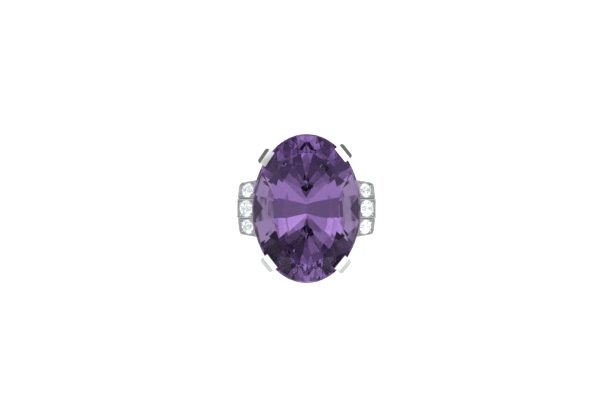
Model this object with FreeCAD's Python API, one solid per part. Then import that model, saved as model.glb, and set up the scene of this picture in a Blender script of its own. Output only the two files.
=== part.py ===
# Cocktail ring in white precious metal. A large oval purple stone stands high over the finger in
# four plate claws. On each side of it a shoulder carries three small white stones in box settings,
# and a domed shank that narrows towards the back closes the ring.
#
# Millimetres. The origin is the centre of the finger hole. +X runs across the shoulders, +Y along
# the finger hole and the long axis of the big stone, and +Z up through the stone's table. "front"
# is the -Y side and "back" the +Y side; "left" is -X and "right" is +X.
import FreeCAD
import Part

import math
import os
import random

Vector = FreeCAD.Vector
Placement = FreeCAD.Placement
Rotation = FreeCAD.Rotation

ORIGIN = Vector(0, 0, 0)
X_AXIS = Vector(1, 0, 0)
Y_AXIS = Vector(0, 1, 0)
Z_AXIS = Vector(0, 0, 1)
FAR = 60.0  # longer than anything in the ring, for cutting tools
NEAR = 0.01  # closer than this counts as the same place
CLEAR = 5.0  # how far a recess is carried up past the surface it opens through

# Finger hole: 17.3 mm across, a US size 7
FINGER_RADIUS = 8.65

# Big stone: a 22 x 16 mm oval with a brilliant crown and a stepped pavilion that ends in a keel
STONE_HALF_WIDTH = 8.0
STONE_HALF_LENGTH = 11.0
STONE_GIRDLE_Z = 18.0
STONE_GIRDLE = 0.6
STONE_CROWN = 2.4
STONE_TABLE_HALF_WIDTH = 4.97
STONE_TABLE_HALF_LENGTH = 8.25
STONE_SECTORS = 16
# Pavilion rows from the girdle down: (how far in from the outline, depth below the girdle).
# They run from the first list on the stone's sides to the second on its ends.
STONE_SIDE_ROWS = ((0.0, 0.0), (0.9, 1.2), (4.17, 4.5), (8.0, 8.1))
STONE_END_ROWS = ((0.0, 0.0), (0.9, 1.17), (4.17, 4.32), (8.4, 7.99))
# Hand cutting leaves each pavilion facet up to this many degrees off in slope and in direction
CUT_SLOPE_ERROR = 0.3
CUT_TURN_ERROR = 0.48
CUT_SEED = 11

# Small white stones: 8-fold brilliants
MIDDLE_STONE_RADIUS = 1.26
OUTER_STONE_RADIUS = 1.08
SMALL_SECTORS = 8
# Their proportions, given for a stone of radius 1
SMALL_CROWN = 0.34
SMALL_GIRDLE = 0.08
SMALL_TABLE = 0.58
SMALL_ROWS = ((0.0, 0.0), (0.3, 0.32), (1.0, 0.88))

# Play between a stone and the metal that holds it
STONE_PLAY = 0.02

# Shank
SHANK_END_ANGLE = 66.0  # from the top of the ring, where the shank meets each shoulder
SHANK_END_X = 10.1
SHANK_SIDE_RADIUS = 10.15
SHANK_BACK_RADIUS = 10.1
SHANK_END_HALF_WIDTH = 3.1
SHANK_BACK_HALF_WIDTH = 1.5
SHANK_END_DOME = 0.3
SHANK_BACK_DOME = 0.62
SHANK_SECTIONS = 19
SHANK_TAPER = 1.3  # above 1, the shank narrows sooner below the shoulders

# Setting plane of a shoulder, as it lies on the right-hand side
SETTING_CENTRE = Vector(9.12, 0, 7.6)
SETTING_SLOPE = 40.0
SETTING_HALF_RUN = 1.6  # down the slope
SETTING_DEPTH = 1.25
MIDDLE_HALF_WIDTH = 1.5
MIDDLE_RISE = 0.12  # the middle box stands this much above the outer two
BOX_GAP = 0.08  # between the middle box and an outer one
OUTER_TILT = 10.0
OUTER_EDGE_HIGH = 4.3  # far edge of an outer box, at its end next to the head
OUTER_EDGE_LOW = 3.88  # and at its end next to the shank
OUTER_CORNER_ROUND = 0.75
RIM_WIDTH = 0.17
RIM_HEIGHT = 0.14
GIRDLE_BELOW_FLOOR = 0.06
GRAIN_RADIUS = 0.23
GRAIN_REACH = 0.45  # share of a grain that lies outside the stone's edge
SEAT_BORE = 0.7  # radius of the hole under a small stone, as a share of the stone's

# Shoulder arms
ARM_STEP = 0.3  # the arm's top lies this much below the setting plane
ARM_HEAD_ANGLE = 31.0  # from the top of the ring, where the arm meets the bridge
ARM_NECK_ANGLE = 41.0
ARM_NECK_RADIUS = 10.0
ARM_NECK_SAG = 0.1  # how far the arm's top dips between the bridge and its neck
ARM_HEAD_HALF_WIDTH = 4.05
PIERCING_ANGLES = (44.0, 60.0)
PIERCING_RADII = (9.3, 9.85)
PIERCING_ROUND = 0.26

# Head: a curved bridge over the finger, an oval base collet, an upper rail and four plate claws
BRIDGE_OUTER_RADIUS = 9.5
WINDOW_HALF_WIDTH = 2.8
WINDOW_HALF_LENGTH = 2.6
BASE_HALF_WIDTH = 5.3
BASE_HALF_LENGTH = 6.9
BASE_WALL = 0.9
BASE_TOP_Z = 10.6
BASE_ROUND = 0.25
RAIL_HALF_WIDTH = 7.75
RAIL_HALF_LENGTH = 10.75
RAIL_WALL = 1.35
RAIL_BOTTOM_Z = 15.4
RAIL_TOP_Z = 16.55
RAIL_ROUND = 0.3
# Eccentric angle of each claw on the girdle, from the X axis. They were set by hand, not evenly.
CLAW_PLACES = {
    "claw_right_back": 47.8,
    "claw_left_back": 42.8,
    "claw_left_front": 46.9,
    "claw_right_front": 48.5,
}
CLAW_TOP_HALF_WIDTH = 1.24
CLAW_FOOT_HALF_WIDTH = 0.8
CLAW_CORNER_ROUND = 0.42  # seen from above
CLAW_LIP_ROUND = 0.2
CLAW_SHOULDER_ROUND = 0.3
# Claw outline in its own upright plane: (outwards from the girdle, up from the girdle's middle)
CLAW_OUTSIDE = ((-3.35, -8.5), (-2.95, -7.1), (-1.75, -4.7), (-0.3, -2.6), (0.62, -1.1), (0.9, 0.0))
CLAW_TIP = ((0.9, 0.4), (0.34, 1.04), (-0.55, 1.22), (-0.55, 0.3))
CLAW_INSIDE = ((-0.9, -1.6), (-1.5, -2.9), (-3.0, -5.2), (-3.85, -7.1), (-4.2, -8.5))


# ---------------------------------------------------------------- helpers


def keep_below(solid, point, normal):
    """The solid without what lies beyond the plane through point, on the side normal points to."""
    waste = Part.makeBox(FAR, FAR, FAR, Vector(-FAR / 2, -FAR / 2, 0))
    waste.Placement = Placement(point, Rotation(Z_AXIS, normal))
    return solid.cut(waste)


def keep_under_facet(solid, a, b, c):
    """The solid cut by the plane through three points of a facet, keeping the stone's middle."""
    normal = (b - a).cross(c - a)
    if normal.dot(a) < 0:
        normal = -normal
    return keep_below(solid, a, normal)


def oval_prism(half_x, half_y, low, high):
    """An upright prism on an oval that is at least as long in Y as it is wide in X."""
    if half_y > half_x:
        curve = Part.Ellipse(Vector(0, half_y, low), Vector(half_x, 0, low), Vector(0, 0, low))
    else:
        curve = Part.Circle(Vector(0, 0, low), Z_AXIS, half_x)
    return Part.Face(Part.Wire(curve.toShape())).extrude(Z_AXIS * (high - low))


def oval_ring(half_x, half_y, wall, low, high):
    outer = oval_prism(half_x, half_y, low, high)
    return outer.cut(oval_prism(half_x - wall, half_y - wall, low - 1, high + 1))


def finger_cylinder(radius):
    """A cylinder on the finger hole's axis."""
    return Part.makeCylinder(radius, FAR, Vector(0, -FAR / 2, 0), Y_AXIS)


def polar(radius, angle, y=0.0):
    """A point round the finger hole, its angle in degrees from the top towards the right."""
    turn = math.radians(angle)
    return Vector(radius * math.sin(turn), y, radius * math.cos(turn))


def arc_edge(radius, from_angle, to_angle, y):
    middle = (from_angle + to_angle) / 2
    ends = polar(radius, from_angle, y), polar(radius, to_angle, y)
    return Part.Arc(ends[0], polar(radius, middle, y), ends[1]).toShape()


def polygon_face(points):
    return Part.Face(Part.makePolygon(list(points) + [points[0]]))


def smooth_edge(points):
    curve = Part.BSplineCurve()
    curve.interpolate(points)
    return curve.toShape()


def moved(shape, placement):
    copy = shape.copy()
    copy.transformShape(placement.toMatrix())
    return copy


def to_left(shape):
    return shape.mirror(ORIGIN, X_AXIS)


def to_front(shape):
    return shape.mirror(ORIGIN, Y_AXIS)


# ---------------------------------------------------------------- stones


def normal_direction(half_x, half_y, place):
    """Direction of an oval's outward normal at an eccentric angle, both in radians."""
    return math.atan2(math.sin(place) / half_y, math.cos(place) / half_x)


def reach(half_x, half_y, direction):
    """How far an oval reaches in a direction."""
    return math.hypot(half_x * math.cos(direction), half_y * math.sin(direction))


def touch_point(half_x, half_y, direction, z):
    """Where a line square to the direction touches the oval."""
    far = reach(half_x, half_y, direction)
    return Vector(half_x**2 * math.cos(direction) / far, half_y**2 * math.sin(direction) / far, z)


def brilliant_crown(solid, half_x, half_y, table_x, table_y, low, high, sectors):
    """Cuts a table, kite facets, star facets and upper girdle facets that meet in points."""
    step = 2 * math.pi / sectors
    star_share = 0.42  # how far down the crown a star facet ends
    star_z = high - star_share * (high - low)
    solid = keep_below(solid, Vector(0, 0, high), Z_AXIS)

    def star_reach(direction):
        """How far a kite's plane lies from the stone's axis at the stars' tips."""
        foot, top = reach(half_x, half_y, direction), reach(table_x, table_y, direction)
        return star_share * foot + (1 - star_share) * top

    def ridge_point(first, second):
        """Where two neighbouring kites' planes cross at the stars' tips."""
        r1, r2 = star_reach(first), star_reach(second)
        turn = math.sin(second - first)
        x = (r1 * math.sin(second) - r2 * math.sin(first)) / turn
        y = (r2 * math.cos(first) - r1 * math.cos(second)) / turn
        return Vector(x, y, star_z)

    for i in range(sectors):
        here = normal_direction(half_x, half_y, (i - 0.5) * step)
        between = normal_direction(half_x, half_y, i * step)
        after = normal_direction(half_x, half_y, (i + 0.5) * step)
        foot = touch_point(half_x, half_y, here, low)
        next_foot = touch_point(half_x, half_y, after, low)
        middle_foot = touch_point(half_x, half_y, between, low)
        top = touch_point(table_x, table_y, here, high)
        next_top = touch_point(table_x, table_y, after, high)
        ridge = ridge_point(here, after)
        along = Vector(-math.sin(here), math.cos(here), 0)
        solid = keep_under_facet(solid, top, foot, foot + along)
        solid = keep_under_facet(solid, top, next_top, ridge)
        solid = keep_under_facet(solid, foot, ridge, middle_foot)
        solid = keep_under_facet(solid, middle_foot, ridge, next_foot)
    return solid


def stepped_pavilion(
    solid, half_x, half_y, top, side_rows, end_rows, sectors, slope_error=0.0, turn_error=0.0,
):
    """Cuts rows of facets with nearly the same slope all round, so that an oval ends in a keel.

    The errors, in degrees, are how far a facet may be off in slope and in direction.
    """
    draw = random.Random(CUT_SEED)
    for row in range(len(side_rows) - 1):
        for i in range(sectors):
            slope_off = math.radians(draw.uniform(-slope_error, slope_error))
            turn_off = math.radians(draw.uniform(-turn_error, turn_error))
            direction = normal_direction(half_x, half_y, i * 2 * math.pi / sectors) + turn_off
            end_share = math.sin(direction) ** 2

            def level(index):
                """Inset and depth at one level of the rows in this direction."""
                pairs = zip(side_rows[index], end_rows[index])
                return [side + (end - side) * end_share for side, end in pairs]

            (inset, depth), (lower_inset, lower_depth) = level(row), level(row + 1)
            slope = math.atan2(lower_depth - depth, lower_inset - inset) + slope_off
            outward = Vector(math.cos(direction), math.sin(direction), 0)
            edge = outward * (reach(half_x, half_y, direction) - inset) + Z_AXIS * (top - depth)
            solid = keep_below(solid, edge, outward * math.sin(slope) - Z_AXIS * math.cos(slope))
    return solid


def oval_stone():
    """The big stone, in place."""
    half_girdle = STONE_GIRDLE / 2
    crown_top = half_girdle + STONE_CROWN
    rough_depth = STONE_SIDE_ROWS[-1][1] + STONE_CROWN
    stone = oval_prism(STONE_HALF_WIDTH, STONE_HALF_LENGTH, -rough_depth, crown_top)
    stone = brilliant_crown(
        stone, STONE_HALF_WIDTH, STONE_HALF_LENGTH, STONE_TABLE_HALF_WIDTH, STONE_TABLE_HALF_LENGTH,
        half_girdle, crown_top, STONE_SECTORS,
    )
    stone = stepped_pavilion(
        stone, STONE_HALF_WIDTH, STONE_HALF_LENGTH, -half_girdle, STONE_SIDE_ROWS, STONE_END_ROWS,
        STONE_SECTORS, CUT_SLOPE_ERROR, CUT_TURN_ERROR,
    )
    stone.translate(Z_AXIS * STONE_GIRDLE_Z)
    return stone


def small_stone(radius):
    """A small brilliant with its girdle's middle at the origin and its table up."""
    half_girdle = SMALL_GIRDLE * radius / 2
    crown_top = half_girdle + SMALL_CROWN * radius
    rows = [(inset * radius, depth * radius) for inset, depth in SMALL_ROWS]
    table = SMALL_TABLE * radius
    stone = oval_prism(radius, radius, -half_girdle - rows[-1][1], crown_top)
    stone = brilliant_crown(stone, radius, radius, table, table, half_girdle, crown_top, SMALL_SECTORS)
    return stepped_pavilion(stone, radius, radius, -half_girdle, rows, rows, SMALL_SECTORS)


def with_play(stone, half_width, centre):
    """The stone a hair larger about a point, for cutting its seat."""
    seat = stone.copy()
    seat.scale(1 + STONE_PLAY / half_width, centre)
    return seat


# ---------------------------------------------------------------- shank


def crest_radius(angle):
    """Radius of the shank's crest at an angle from the top, up to 180 degrees."""
    if angle < 90:
        rise = (90 - angle) / (90 - SHANK_END_ANGLE)
        x = SHANK_SIDE_RADIUS + (SHANK_END_X - SHANK_SIDE_RADIUS) * rise**2
        return x / math.sin(math.radians(angle))
    return SHANK_SIDE_RADIUS + (SHANK_BACK_RADIUS - SHANK_SIDE_RADIUS) * (angle - 90) / 90


def shank_section(angle):
    """A closed D-shaped outline across the shank. Its flat side lies inside the finger hole."""
    from_top = min(angle, 360 - angle)
    share = (from_top - SHANK_END_ANGLE) / (180 - SHANK_END_ANGLE)
    ease = ((1 + math.cos(math.pi * share)) / 2) ** SHANK_TAPER
    half = SHANK_BACK_HALF_WIDTH + (SHANK_END_HALF_WIDTH - SHANK_BACK_HALF_WIDTH) * ease
    dome = SHANK_BACK_DOME + (SHANK_END_DOME - SHANK_BACK_DOME) * ease
    crest = crest_radius(from_top)
    inner = FINGER_RADIUS - 0.5
    front_inner, back_inner = polar(inner, angle, -half), polar(inner, angle, half)
    front_edge, back_edge = polar(crest - dome, angle, -half), polar(crest - dome, angle, half)
    return Part.Wire([
        Part.makeLine(front_inner, back_inner),
        Part.makeLine(back_inner, back_edge),
        Part.Arc(back_edge, polar(crest, angle), front_edge).toShape(),
        Part.makeLine(front_edge, front_inner),
    ])


def shank():
    sweep = 360 - 2 * SHANK_END_ANGLE
    angles = [SHANK_END_ANGLE + sweep * i / (SHANK_SECTIONS - 1) for i in range(SHANK_SECTIONS)]
    band = Part.makeLoft([shank_section(angle) for angle in angles], True, False)
    return band.cut(finger_cylinder(FINGER_RADIUS))


# ---------------------------------------------------------------- shoulders


def on_shoulder(shape):
    """From a setting's own axes to the right shoulder: X down the slope, Y along the finger, Z out."""
    return moved(shape, Placement(SETTING_CENTRE, Rotation(Y_AXIS, SETTING_SLOPE)))


def tilt_outer(shape):
    """Tilts the back outer box down and away from the middle box, about its near top edge."""
    tilted = shape.copy()
    tilted.rotate(Vector(0, MIDDLE_HALF_WIDTH, 0), X_AXIS, -OUTER_TILT)
    return tilted


def middle_outline(inset):
    """Outline of the middle box, drawn in by inset on every side."""
    run, half = SETTING_HALF_RUN - inset, MIDDLE_HALF_WIDTH - BOX_GAP / 2 - inset
    return [Vector(-run, -half, 0), Vector(run, -half, 0), Vector(run, half, 0), Vector(-run, half, 0)]


def outer_outline(inset):
    """Outline of the back outer box before it is tilted, drawn in by inset on every side."""
    run, near = SETTING_HALF_RUN - inset, MIDDLE_HALF_WIDTH + BOX_GAP / 2 + inset
    return [
        Vector(-run, near, 0),
        Vector(run, near, 0),
        Vector(run, OUTER_EDGE_LOW - inset, 0),
        Vector(-run, OUTER_EDGE_HIGH - inset, 0),
    ]


def prism(outline, low, high):
    return polygon_face([Vector(p.x, p.y, low) for p in outline]).extrude(Z_AXIS * (high - low))


def rounded_far_corner(block):
    """Rounds the upright edge of an outer box at its far corner next to the shank."""
    corner = [
        edge for edge in block.Edges
        if all(v.X > SETTING_HALF_RUN - NEAR and v.Y > MIDDLE_HALF_WIDTH + 1 for v in edge.Vertexes)
    ]
    return block.makeFillet(OUTER_CORNER_ROUND, corner)


def box_setting(block, outline, top, radius, centre):
    """Turns a solid box into a setting, and returns it with its stone.

    The box gets a sunk floor inside its rim, a grain at each corner and a seat for the stone.
    """
    floor = top - RIM_HEIGHT
    girdle = centre + Z_AXIS * (floor - GIRDLE_BELOW_FLOOR)
    setting = block.cut(prism(outline, floor, top + 1))
    setting = setting.cut(Part.makeCylinder(radius + STONE_PLAY, 1.0, girdle))
    for corner in outline:
        way = (corner - centre).normalize()
        spot = centre + way * (radius + GRAIN_REACH * GRAIN_RADIUS) + Z_AXIS * floor
        setting = setting.fuse(Part.makeSphere(GRAIN_RADIUS, spot))
    stone = small_stone(radius)
    seat = with_play(stone, radius, ORIGIN)
    stone.translate(girdle)
    seat.translate(girdle)
    bore = Part.makeCylinder(SEAT_BORE * radius, FAR, girdle, -Z_AXIS)
    return setting.cut(seat).cut(bore), stone


def middle_setting():
    """The raised middle box and its stone, in the setting's axes."""
    block = prism(middle_outline(0), -SETTING_DEPTH, MIDDLE_RISE)
    return box_setting(block, middle_outline(RIM_WIDTH), MIDDLE_RISE, MIDDLE_STONE_RADIUS, ORIGIN)


def outer_setting():
    """The back outer box and its stone, in the setting's axes."""
    block = rounded_far_corner(prism(outer_outline(0), -SETTING_DEPTH, 0))
    far = (OUTER_EDGE_HIGH + OUTER_EDGE_LOW) / 2
    centre = Vector(0, (MIDDLE_HALF_WIDTH + far) / 2, 0)
    box, stone = box_setting(block, outer_outline(RIM_WIDTH), 0, OUTER_STONE_RADIUS, centre)
    side_clear = prism(middle_outline(-BOX_GAP), -SETTING_DEPTH - 1, MIDDLE_RISE + 1)
    return tilt_outer(box).cut(side_clear), tilt_outer(stone)


def setting_recess():
    """The room that the three boxes take up in an arm, open at the top, in the setting's axes."""
    middle = prism(middle_outline(0), -SETTING_DEPTH, CLEAR)
    outer = tilt_outer(prism(outer_outline(0), -SETTING_DEPTH, CLEAR))
    return [middle, outer, to_front(outer)]


def arm():
    """The right shoulder's arm, from the bridge to the shank, with a pierced slot through it."""
    slope = Rotation(Y_AXIS, SETTING_SLOPE)
    top_centre = SETTING_CENTRE - slope.multVec(Z_AXIS) * ARM_STEP
    down_slope = slope.multVec(X_AXIS) * SETTING_HALF_RUN
    y = Vector(0, -ARM_HEAD_HALF_WIDTH, 0)
    neck = polar(ARM_NECK_RADIUS, ARM_NECK_ANGLE) + y
    inner_top = top_centre - down_slope + y
    outer_top = top_centre + down_slope + y
    shoulder = Vector(SHANK_END_X, y.y, outer_top.z - ARM_STEP)
    heel = polar(crest_radius(SHANK_END_ANGLE), SHANK_END_ANGLE) + y
    head_end = polar(BRIDGE_OUTER_RADIUS, ARM_HEAD_ANGLE) + y
    sag_radius = (BRIDGE_OUTER_RADIUS + ARM_NECK_RADIUS) / 2 - ARM_NECK_SAG
    neck_middle = polar(sag_radius, (ARM_HEAD_ANGLE + ARM_NECK_ANGLE) / 2) + y
    outline = Part.Wire([
        Part.Arc(head_end, neck_middle, neck).toShape(),
        Part.makeLine(neck, inner_top),
        Part.makeLine(inner_top, outer_top),
        Part.makeLine(outer_top, shoulder),
        Part.makeLine(shoulder, heel),
        Part.makeLine(heel, polar(FINGER_RADIUS, SHANK_END_ANGLE) + y),
        arc_edge(FINGER_RADIUS, SHANK_END_ANGLE, ARM_HEAD_ANGLE, y.y),
        Part.makeLine(polar(FINGER_RADIUS, ARM_HEAD_ANGLE) + y, head_end),
    ])
    body = Part.Face(outline).extrude(Y_AXIS * 2 * ARM_HEAD_HALF_WIDTH)
    head_corner = polar(FINGER_RADIUS, ARM_HEAD_ANGLE, ARM_HEAD_HALF_WIDTH)
    along = Vector(SHANK_END_X, SHANK_END_HALF_WIDTH, 0) - Vector(head_corner.x, head_corner.y, 0)
    side = Vector(-along.y, along.x, 0)
    body = keep_below(body, head_corner, side)
    front_corner = Vector(head_corner.x, -head_corner.y, head_corner.z)
    body = keep_below(body, front_corner, Vector(side.x, -side.y, 0))
    for room in setting_recess():
        body = body.cut(on_shoulder(room))
    return body.cut(piercing())


def piercing():
    """The slot along the finger's axis that lightens an arm."""
    low, high = PIERCING_RADII
    start, end = PIERCING_ANGLES
    y = -FAR / 2
    outline = Part.Wire([
        arc_edge(low, start, end, y),
        Part.makeLine(polar(low, end, y), polar(high, end, y)),
        arc_edge(high, end, start, y),
        Part.makeLine(polar(high, start, y), polar(low, start, y)),
    ])
    slot = Part.Face(outline).extrude(Y_AXIS * FAR)
    ends = [edge for edge in slot.Edges if edge.Length > FAR - NEAR]
    return slot.makeFillet(PIERCING_ROUND, ends)


# ---------------------------------------------------------------- head


def bridge():
    """The curved plate that closes the finger hole under the head, with an oval window."""
    y = -ARM_HEAD_HALF_WIDTH
    start, end = -ARM_HEAD_ANGLE, ARM_HEAD_ANGLE
    outline = Part.Wire([
        arc_edge(BRIDGE_OUTER_RADIUS, start, end, y),
        Part.makeLine(polar(BRIDGE_OUTER_RADIUS, end, y), polar(FINGER_RADIUS, end, y)),
        arc_edge(FINGER_RADIUS, end, start, y),
        Part.makeLine(polar(FINGER_RADIUS, start, y), polar(BRIDGE_OUTER_RADIUS, start, y)),
    ])
    plate = Part.Face(outline).extrude(Y_AXIS * 2 * ARM_HEAD_HALF_WIDTH)
    window = Part.makeCylinder(WINDOW_HALF_WIDTH, FAR)
    squash = FreeCAD.Matrix()
    squash.scale(1, WINDOW_HALF_LENGTH / WINDOW_HALF_WIDTH, 1)
    return plate.cut(window.transformGeometry(squash))


def base_collet():
    """The oval collar that stands on the bridge and takes the claws' feet."""
    ring = oval_ring(BASE_HALF_WIDTH, BASE_HALF_LENGTH, BASE_WALL, 0, BASE_TOP_Z)
    top_edges = [e for e in ring.Edges if all(abs(v.Z - BASE_TOP_Z) < NEAR for v in e.Vertexes)]
    ring = ring.makeFillet(BASE_ROUND, top_edges)
    return ring.cut(finger_cylinder(BRIDGE_OUTER_RADIUS))


def upper_rail():
    """The oval rail under the girdle that the big stone rests on."""
    ring = oval_ring(RAIL_HALF_WIDTH, RAIL_HALF_LENGTH, RAIL_WALL, RAIL_BOTTOM_Z, RAIL_TOP_Z)
    rounded = [e for e in ring.Edges if all(abs(v.Z - RAIL_BOTTOM_Z) < NEAR for v in e.Vertexes)]
    return ring.makeFillet(RAIL_ROUND, rounded)


def claw_blank():
    """One claw before its seat is cut, upright at the origin and facing +X."""

    def at(place):
        return Vector(place[0], -CLAW_TOP_HALF_WIDTH, place[1])

    tip = [at(p) for p in (CLAW_OUTSIDE[-1],) + CLAW_TIP + (CLAW_INSIDE[0],)]
    edges = [smooth_edge([at(p) for p in CLAW_OUTSIDE])]
    edges += [Part.makeLine(a, b) for a, b in zip(tip, tip[1:])]
    edges += [smooth_edge([at(p) for p in CLAW_INSIDE])]
    edges += [Part.makeLine(at(CLAW_INSIDE[-1]), at(CLAW_OUTSIDE[0]))]
    claw = Part.Face(Part.Wire(edges)).extrude(Y_AXIS * 2 * CLAW_TOP_HALF_WIDTH)
    claw = round_across(claw, CLAW_TIP[0], CLAW_SHOULDER_ROUND)
    claw = round_across(claw, CLAW_TIP[1], CLAW_LIP_ROUND)
    claw = claw.common(claw_room())
    foot_z, knee_z = CLAW_OUTSIDE[0][1], CLAW_OUTSIDE[-2][1]
    lean = CLAW_TOP_HALF_WIDTH - CLAW_FOOT_HALF_WIDTH
    for way in (-1, 1):
        knee = Vector(0, way * CLAW_TOP_HALF_WIDTH, knee_z)
        wedge = polygon_face([
            knee,
            knee + Vector(0, -way * lean, foot_z - knee_z),
            knee + Vector(0, 0, foot_z - knee_z),
        ])
        wedge.translate(Vector(-FAR / 2, 0, 0))
        claw = claw.cut(wedge.extrude(X_AXIS * FAR))
    return claw


def claw_room():
    """The upright prism a claw is filed to, with rounded outer corners as seen from above."""
    front, side = CLAW_OUTSIDE[-1][0], CLAW_TOP_HALF_WIDTH
    room = Part.makeBox(front + FAR, 2 * side, 2 * FAR, Vector(-FAR, -side, -FAR))
    corners = [
        edge for edge in room.Edges
        if all(abs(v.X - front) < NEAR for v in edge.Vertexes) and edge.Length > 2 * FAR - NEAR
    ]
    return room.makeFillet(CLAW_CORNER_ROUND, corners)


def round_across(solid, place, radius):
    """Rounds the edge that runs across a claw at one point of its outline."""
    found = [
        edge for edge in solid.Edges
        if all(abs(v.X - place[0]) < NEAR and abs(v.Z - place[1]) < NEAR for v in edge.Vertexes)
    ]
    return solid.makeFillet(radius, found)


def claws():
    """The four claws by name, each turned square to the girdle where it stands."""
    blank = claw_blank()
    placed = {}
    for name, place in CLAW_PLACES.items():
        angle = math.radians(place)
        x = STONE_HALF_WIDTH * math.cos(angle)
        y = STONE_HALF_LENGTH * math.sin(angle)
        turn = math.degrees(normal_direction(STONE_HALF_WIDTH, STONE_HALF_LENGTH, angle))
        claw = moved(blank, Placement(Vector(x, y, STONE_GIRDLE_Z), Rotation(Z_AXIS, turn)))
        if "left" in name:
            claw = to_left(claw)
        if "front" in name:
            claw = to_front(claw)
        placed[name] = claw
    return placed


# ---------------------------------------------------------------- assembly


def without(shape, others):
    """The shape cut back to the faces of its neighbours."""
    for other in others:
        if shape.BoundBox.intersect(other.BoundBox):
            shape = shape.cut(other)
    return shape


def build():
    """Every piece by name, in place, none of them overlapping."""
    pieces = {"amethyst": oval_stone()}
    stone_room = with_play(pieces["amethyst"], STONE_HALF_WIDTH, Vector(0, 0, STONE_GIRDLE_Z))

    middle_box, middle_stone = middle_setting()
    outer_box, outer_stone = outer_setting()
    right = {
        "setting_right_middle": on_shoulder(middle_box),
        "setting_right_back": on_shoulder(outer_box),
        "setting_right_front": on_shoulder(to_front(outer_box)),
        "brilliant_right_middle": on_shoulder(middle_stone),
        "brilliant_right_back": on_shoulder(outer_stone),
        "brilliant_right_front": on_shoulder(to_front(outer_stone)),
    }

    claw_pieces = {name: claw.cut(stone_room) for name, claw in claws().items()}
    collet = without(base_collet(), claw_pieces.values())
    right["arm_right"] = without(arm(), [collet])
    pieces.update(claw_pieces)
    pieces["upper_rail"] = without(upper_rail().cut(stone_room), claw_pieces.values())
    pieces["base_collet"] = collet
    pieces["bridge"] = without(bridge(), claw_pieces.values())
    for name, shape in right.items():
        pieces[name] = shape
        pieces[name.replace("right", "left")] = to_left(shape)
    pieces["shank"] = shank()
    return pieces


os.makedirs("parts", exist_ok=True)
for piece_name, piece in build().items():
    solid = piece.removeSplitter() if piece.ShapeType != "Solid" else piece
    solid.exportStep(f"parts/{piece_name}.step")
    summary = f"solids {len(solid.Solids)}, valid {solid.isValid()}, volume {solid.Volume:.3f}"
    print(piece_name, summary)
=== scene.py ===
"""Looks of the cocktail ring: materials, soft light, floor and camera round the fixed CAD frame.

Metres. The ring stands as the CAD has it: +Y along the finger hole, +Z up through the big stone.
"""

import math

import bpy
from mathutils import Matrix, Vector

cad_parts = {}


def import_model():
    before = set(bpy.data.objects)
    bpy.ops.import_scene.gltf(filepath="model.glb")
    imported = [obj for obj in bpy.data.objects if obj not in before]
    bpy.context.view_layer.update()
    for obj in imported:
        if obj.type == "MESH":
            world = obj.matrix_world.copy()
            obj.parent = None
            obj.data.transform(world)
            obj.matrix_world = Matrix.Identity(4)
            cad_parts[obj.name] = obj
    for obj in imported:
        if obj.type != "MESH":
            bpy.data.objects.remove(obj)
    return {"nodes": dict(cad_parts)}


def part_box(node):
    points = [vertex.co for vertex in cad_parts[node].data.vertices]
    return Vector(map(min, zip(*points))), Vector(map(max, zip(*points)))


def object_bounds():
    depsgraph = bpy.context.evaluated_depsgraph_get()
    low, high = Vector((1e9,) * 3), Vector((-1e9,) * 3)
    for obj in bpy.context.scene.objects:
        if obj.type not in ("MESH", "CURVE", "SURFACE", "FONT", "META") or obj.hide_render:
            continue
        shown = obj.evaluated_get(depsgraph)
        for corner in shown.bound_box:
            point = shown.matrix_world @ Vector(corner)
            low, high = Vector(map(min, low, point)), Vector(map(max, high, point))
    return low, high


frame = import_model()
CAD_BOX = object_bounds()

MM = 0.001
SCENE = bpy.context.scene
NODES = frame["nodes"]


# ---------------------------------------------------------------- node helpers


class Shader:
    """A small builder for node trees: adds nodes, sets their inputs and links them."""

    def __init__(self, tree):
        self.tree = tree
        tree.nodes.clear()

    def feed(self, socket, value):
        """Links an output to a socket, or sets the socket to a plain value."""
        if isinstance(value, bpy.types.NodeSocket):
            self.tree.links.new(value, socket)
        else:
            socket.default_value = value

    def node(self, kind, inputs=None, **settings):
        made = self.tree.nodes.new("ShaderNode" + kind)
        for name, value in settings.items():
            setattr(made, name, value)
        for name, value in (inputs or {}).items():
            self.feed(made.inputs[name], value)
        return made

    def noise(self, place, scale, detail):
        inputs = {"Vector": place, "Scale": scale, "Detail": detail}
        return self.node("TexNoise", inputs).outputs["Fac"]

    def bump(self, height, strength, distance, normal):
        inputs = {"Height": height, "Strength": strength, "Distance": distance, "Normal": normal}
        return self.node("Bump", inputs).outputs["Normal"]

    def ramp(self, factor, stops):
        """A colour ramp through (position, grey or colour) stops."""
        made = self.node("ValToRGB", {"Fac": factor})
        ramp = made.color_ramp
        while len(ramp.elements) < len(stops):
            ramp.elements.new(0.5)
        for element, (position, colour) in zip(ramp.elements, stops):
            element.position = position
            element.color = colour if isinstance(colour, tuple) else (colour, colour, colour, 1)
        return made.outputs["Color"]

    def ease(self, value, start, end, low=0.0, high=1.0):
        """A smooth step from low to high while the value goes from start to end."""
        inputs = {"Value": value, "From Min": start, "From Max": end, "To Min": low, "To Max": high}
        return self.node("MapRange", inputs, interpolation_type="SMOOTHSTEP").outputs["Result"]

    def blend(self, factor, a, b, how="MIX"):
        made = self.node("Mix", data_type="RGBA", blend_type=how)
        made.clamp_factor = True
        for index, value in ((0, factor), (6, a), (7, b)):
            self.feed(made.inputs[index], value)
        return made.outputs[2]

    def math(self, operation, a, b=0.0):
        made = self.node("Math", operation=operation)
        self.feed(made.inputs[0], a)
        self.feed(made.inputs[1], b)
        return made.outputs[0]

    def dot(self, a, b):
        inputs = {0: a, 1: b}
        return self.node("VectorMath", inputs, operation="DOT_PRODUCT").outputs["Value"]


def new_material(name):
    material = bpy.data.materials.new(name)
    material.use_nodes = True
    return material, Shader(material.node_tree)


# ---------------------------------------------------------------- metal


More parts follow.
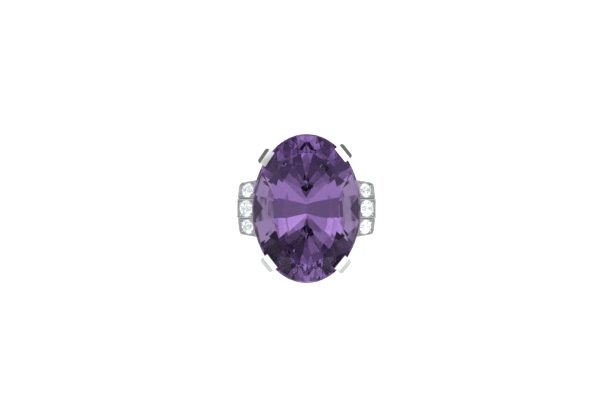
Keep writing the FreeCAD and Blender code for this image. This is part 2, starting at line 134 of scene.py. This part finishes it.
METAL_DULL = (0.86, 0.872, 0.872, 1)
METAL_BRIGHT = (0.93, 0.942, 0.942, 1)
# Dark grey painted into recesses as shade
RECESS_PAINTED_SHADE = (0.18, 0.19, 0.19, 1)
# Pale grey painted on edges as a highlight
EDGE_PAINTED_HIGHLIGHT = (0.965, 0.98, 0.98, 1)
EDGE_SHARE = 0.6  # how much of the highlight painted on edges shows
RECESS_DEPTH = 0.45 * MM
EDGE_ROUNDING = 0.07 * MM  # radius over which edges look rounded
RECESS_STOPS = ((0.35, 1.0), (0.85, 0.0))
EDGE_STOPS = ((0.90, 1.0), (0.995, 0.0))
# Noise scales, per metre, and how many octaves each has
TONE_NOISE = (260.0, 3.0)
LINE_NOISE = (900.0, 4.0)
DENT_NOISE = (620.0, 1.0)
FILING_NOISE = (330.0, 0.0)
LINE_STRETCH = (1.0, 14.0, 1.0)
TONE_ROUGHNESS = 0.10
RECESS_ROUGHNESS = 0.25
# Bumps: strength and depth
LINE_BUMP = (0.12, 0.006 * MM)
DENT_BUMP = (0.25, 0.025 * MM)


def white_metal(name, brushed, recess_shade, wave):
    """Polished white metal: fine polishing lines, shade painted dark into recesses and a highlight
    painted pale on edges.

    Brushed is the lines' share of the roughness, the third argument how dark the shade painted into
    the recesses is, and wave how far, in millimetres, the hand-filed faces undulate.
    """
    material, s = new_material(name)
    place = s.node("TexCoord").outputs["Object"]
    tone = s.noise(place, *TONE_NOISE)
    stretched = s.node("Mapping", {"Vector": place, "Scale": LINE_STRETCH}).outputs["Vector"]
    lines = s.noise(stretched, *LINE_NOISE)
    dents = s.noise(place, *DENT_NOISE)
    filing = s.noise(place, *FILING_NOISE)

    # Painted shade: recesses that the AO finds are coloured towards a dark grey, and made rougher
    open_sky = s.node("AmbientOcclusion", {"Distance": RECESS_DEPTH}, samples=6).outputs["AO"]
    recess = s.ramp(open_sky, RECESS_STOPS)
    soft_edge = s.node("Bevel", {"Radius": EDGE_ROUNDING}, samples=4).outputs["Normal"]
    facing = s.node("NewGeometry").outputs["Normal"]
    # Painted highlight: edges that the bevel rounds are coloured paler
    edge = s.ramp(s.dot(soft_edge, facing), EDGE_STOPS)

    colour = s.ramp(tone, ((0.3, METAL_DULL), (0.7, METAL_BRIGHT)))
    colour = s.blend(s.math("MULTIPLY", recess, recess_shade), colour, RECESS_PAINTED_SHADE)
    colour = s.blend(s.math("MULTIPLY", edge, EDGE_SHARE), colour, EDGE_PAINTED_HIGHLIGHT)
    rough = s.math("ADD", s.math("MULTIPLY", tone, TONE_ROUGHNESS), s.math("MULTIPLY", lines, brushed))
    rough = s.math("ADD", rough, s.math("MULTIPLY", recess, RECESS_ROUGHNESS))
    normal = s.bump(lines, *LINE_BUMP, soft_edge)
    normal = s.bump(dents, *DENT_BUMP, normal)
    normal = s.bump(filing, 1.0, wave * MM, normal)
    shader = s.node("BsdfPrincipled", {
        "Base Color": colour,
        "Metallic": 1.0,
        "Roughness": rough,
        "Normal": normal,
    })
    s.node("OutputMaterial", {"Surface": shader.outputs[0]})
    return material


# ---------------------------------------------------------------- stones


AMETHYST_IOR = 1.544
AMETHYST_ABSORB = (60.0, 84.0, 42.0)  # per metre, for red, green and blue
AMETHYST_TINT = ((0.93, 0.90, 0.97, 1), (0.98, 0.96, 1.0, 1))
DIAMOND_IOR = 2.417
DIAMOND_ABSORB = (1.0, 1.0, 0.5)
DIAMOND_TINT = ((0.94, 0.965, 0.975, 1), (0.975, 1.0, 1.0, 1))
GEM_ROUGHNESS = 0.01  # where a stone's clouds are densest
STRONGEST_TAKEN = 0.95  # share of a volume's density that its strongest absorbed colour gets
CLOUD_NOISE = (120.0, 2.0)
POLISH_NOISE = (420.0, 0.0)
# Painted sparkle: a glow that the stones give by facet, though they are no lamps
FLASH_NOISE = (7.0, 0.0)
FLASH_STOPS = ((0.46, 0.0), (0.60, (0.96, 1.0, 1.0, 1)))


def absorption(s, rates):
    """A clear volume that takes light out at a rate per metre for each colour."""
    density = max(rates) / STRONGEST_TAKEN
    colour = tuple(1 - rate / density for rate in rates) + (1,)
    return s.node("VolumeAbsorption", {"Color": colour, "Density": density}).outputs[0]


def gem(name, ior, rates, tint, mirror, polish, painted_glow=0.0):
    """A cut stone: clear with faint clouds inside, its facets polished not quite evenly.

    Mirror is how strongly its outside reflects. Polish is how far, in millimetres, its facets swell
    and dip. The last argument is the strength of a faint painted glow that varies by facet, standing
    in for sparkle.
    """
    material, s = new_material(name)
    place = s.node("TexCoord").outputs["Object"]
    cloud = s.noise(place, *CLOUD_NOISE)
    colour = s.ramp(cloud, ((0.35, tint[0]), (0.7, tint[1])))
    rough = s.ramp(cloud, ((0.3, 0.0), (0.8, GEM_ROUGHNESS)))
    wave = s.noise(place, *POLISH_NOISE)
    bump = s.node("Bump", {"Height": wave, "Strength": 1.0, "Distance": polish * MM})
    facet = s.node("NewGeometry").outputs["True Normal"]
    spread = s.node("VectorMath", {0: facet, 1: place}, operation="ADD").outputs["Vector"]
    flash = s.noise(spread, *FLASH_NOISE)
    shader = s.node("BsdfPrincipled", {
        "Base Color": colour,
        "Roughness": rough,
        "IOR": ior,
        "Transmission Weight": 1.0,
        "Specular Tint": (mirror, mirror, mirror, 1),
        "Normal": bump.outputs["Normal"],
        # Painted glow, varying by facet, as sparkle
        "Emission Color": s.ramp(flash, FLASH_STOPS),
        "Emission Strength": painted_glow,
    })
    volume = absorption(s, rates)
    s.node("OutputMaterial", {"Surface": shader.outputs[0], "Volume": volume})
    return material


# ---------------------------------------------------------------- pieces


FACET_ANGLE = 1.5  # degrees between faces, above which an edge is sharp


def flat_facets(obj):
    split = obj.modifiers.new("facets", "EDGE_SPLIT")
    split.split_angle = math.radians(FACET_ANGLE)


def dress(obj, material):
    obj.data.materials.clear()
    obj.data.materials.append(material)


def dress_pieces():
    """Gives every piece its material by the first word of its name."""
    polished = white_metal("polished_metal", brushed=0.06, recess_shade=0.55, wave=0.05)
    claw = white_metal("claw_metal", brushed=0.06, recess_shade=0.7, wave=0.25)
    setting = white_metal("setting_metal", brushed=0.16, recess_shade=0.6, wave=0.02)
    amethyst = gem(
        "amethyst", AMETHYST_IOR, AMETHYST_ABSORB, AMETHYST_TINT, mirror=0.25, polish=0.025,
    )
    diamond = gem(
        "diamond", DIAMOND_IOR, DIAMOND_ABSORB, DIAMOND_TINT, mirror=1.0, polish=0.002, painted_glow=0.2,
    )
    by_kind = {"amethyst": amethyst, "brilliant": diamond, "setting": setting, "claw": claw}
    for name, obj in NODES.items():
        kind = name.split("_")[0]
        dress(obj, by_kind.get(kind, polished))
        if kind in ("amethyst", "brilliant"):
            flat_facets(obj)


# ---------------------------------------------------------------- floor


# The camera sees a white floor. Reflections see one that is pale in front of the ring and shaded
# behind it.
FLOOR_HALF = 0.6
FLOOR_FRONT = (0.98, 1.0, 1.0, 1)
FLOOR_BACK = (0.20, 0.20, 0.18, 1)
FLOOR_SHADE = (-4 * MM, 14 * MM)  # Y where the shading begins and is full
FLOOR_NOISE = (400.0, 3.0)
FLOOR_STOPS = ((0.3, (0.88, 0.88, 0.88, 1)), (0.7, (0.92, 0.92, 0.92, 1)))
FLOOR_ROUGHNESS = 0.9
FLOOR_LIFT = 0.5  # light added to the floor that the camera sees, so that shadows stay soft


def floor():
    low = CAD_BOX[0][2]
    mesh = bpy.data.meshes.new("floor")
    corners = ((-1, -1), (1, -1), (1, 1), (-1, 1))
    mesh.from_pydata([(x * FLOOR_HALF, y * FLOOR_HALF, low) for x, y in corners], [], [(0, 1, 2, 3)])
    plane = bpy.data.objects.new("floor", mesh)
    SCENE.collection.objects.link(plane)
    material, s = new_material("floor")
    place = s.node("TexCoord").outputs["Object"]
    grain = s.ramp(s.noise(place, *FLOOR_NOISE), FLOOR_STOPS)
    seen = s.node("LightPath").outputs["Is Camera Ray"]
    depth = s.node("SeparateXYZ", {"Vector": place}).outputs["Y"]
    mirrored = s.blend(s.ease(depth, *FLOOR_SHADE), FLOOR_FRONT, FLOOR_BACK)
    shader = s.node("BsdfPrincipled", {
        "Base Color": s.blend(seen, mirrored, grain),
        "Roughness": FLOOR_ROUGHNESS,
        "Emission Color": (1, 1, 1, 1),
        "Emission Strength": s.math("MULTIPLY", seen, FLOOR_LIFT),
    })
    s.node("OutputMaterial", {"Surface": shader.outputs[0]})
    mesh.materials.append(material)


# ---------------------------------------------------------------- light


# One soft studio for every material. Its dome's brightness follows the sine of the elevation.
DOME = (
    (0.0, 0.4), (0.05, 0.2), (0.10, 0.25), (0.14, 1.1), (0.3, 1.0),
    (0.45, 0.2), (0.6, 0.3), (0.82, 1.2), (0.91, 1.2), (0.95, 0.5),
)
# Its back is dimmer: Y of the direction where that begins and is full, and how much is left there
DOME_BACK = (0.35, 0.9)
DOME_BACK_LEFT = 0.3
# Two dark strips near the horizon draw the metal's edges, by the size of the direction's X. They
# fade out upwards between these sines of the elevation.
STRIPS = ((0.28, 1.0), (0.36, 0.18), (0.58, 0.18), (0.72, 1.0), (0.95, 0.6))
STRIPS_NONE = 0.45
STRIPS_FULL = 0.30
# A large soft key lamp at the back right: degrees from +X, from straight up, and the half angles of
# its even core and of its edge
KEY_AZIMUTH = 50
KEY_ZENITH = 38
KEY_CORE = 8
KEY_EDGE = 34
KEY_COLOUR = (0.8, 0.8, 0.8, 1)
BACKDROP = (0.95, 0.95, 0.95, 1)  # what the camera sees past the floor
# A soft lamp in front
CARD_PLACE = (0, -0.09, 0.02)
CARD_AIM = (0, 0, 0.015)
CARD_WIDTH = 0.16
CARD_HEIGHT = 0.06
CARD_BRIGHTNESS = 0.8


def toward(azimuth, zenith):
    """The direction at an azimuth from +X and an angle from straight up, both in degrees."""
    across = math.sin(math.radians(zenith))
    turn = math.radians(azimuth)
    return Vector((across * math.cos(turn), across * math.sin(turn), math.cos(math.radians(zenith))))


def world():
    made = bpy.data.worlds.new("studio")
    made.use_nodes = True
    SCENE.world = made
    s = Shader(made.node_tree)
    direction = s.node("TexCoord").outputs["Generated"]
    axes = s.node("SeparateXYZ", {"Vector": direction})
    dome = s.ramp(axes.outputs["Z"], DOME)
    back = s.ease(axes.outputs["Y"], *DOME_BACK, low=1.0, high=DOME_BACK_LEFT)
    dome = s.blend(1.0, dome, back, how="MULTIPLY")
    low = s.ease(axes.outputs["Z"], STRIPS_NONE, STRIPS_FULL)
    strips = s.ramp(s.math("ABSOLUTE", axes.outputs["X"]), STRIPS)
    dome = s.blend(low, dome, strips, how="MULTIPLY")
    key_axis = toward(KEY_AZIMUTH, KEY_ZENITH)
    edge, core = math.cos(math.radians(KEY_EDGE)), math.cos(math.radians(KEY_CORE))
    key = s.ease(s.dot(direction, key_axis), edge, core)
    studio = s.blend(key, dome, KEY_COLOUR, how="ADD")
    seen = s.node("LightPath").outputs["Is Camera Ray"]
    colour = s.blend(seen, studio, BACKDROP)
    background = s.node("Background", {"Color": colour, "Strength": 1.0})
    s.node("OutputWorld", {"Surface": background.outputs[0]})


def front_card():
    """A rectangular lamp of an even brightness, which a mirror would show as that grey level."""
    light = bpy.data.lights.new("front_card", "AREA")
    light.shape = "RECTANGLE"
    light.size = CARD_WIDTH
    light.size_y = CARD_HEIGHT
    light.energy = CARD_BRIGHTNESS * math.pi * CARD_WIDTH * CARD_HEIGHT
    obj = bpy.data.objects.new("front_card", light)
    obj.location = CARD_PLACE
    obj.rotation_euler = (Vector(CARD_AIM) - Vector(CARD_PLACE)).to_track_quat("-Z", "Y").to_euler()
    obj.visible_camera = False
    obj.visible_transmission = False
    SCENE.collection.objects.link(obj)


# ---------------------------------------------------------------- camera


VIEW_WIDTH = 0.088  # width of the picture at the big stone's girdle
VIEW_OFFSET = (0.00126, 0.00007)  # the stone's place in the picture, right of and above its middle
CAMERA_DISTANCE = 0.6
SENSOR = 36.0
TABLE_OVER_GIRDLE = 2.7 * MM


def camera():
    """Looks straight down on the big stone."""
    low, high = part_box("amethyst")
    girdle = high.z - TABLE_OVER_GIRDLE
    data = bpy.data.cameras.new("camera")
    data.sensor_width = SENSOR
    data.lens = SENSOR * CAMERA_DISTANCE / VIEW_WIDTH
    data.shift_x = -VIEW_OFFSET[0] / VIEW_WIDTH
    data.shift_y = -VIEW_OFFSET[1] / VIEW_WIDTH
    obj = bpy.data.objects.new("camera", data)
    obj.location = ((low.x + high.x) / 2, (low.y + high.y) / 2, girdle + CAMERA_DISTANCE)
    SCENE.collection.objects.link(obj)
    SCENE.camera = obj


dress_pieces()
floor()
world()
front_card()
camera()

SCENE.view_settings.view_transform = "Standard"
SCENE.cycles.max_bounces = 24
SCENE.cycles.transmission_bounces = 24
SCENE.cycles.glossy_bounces = 12
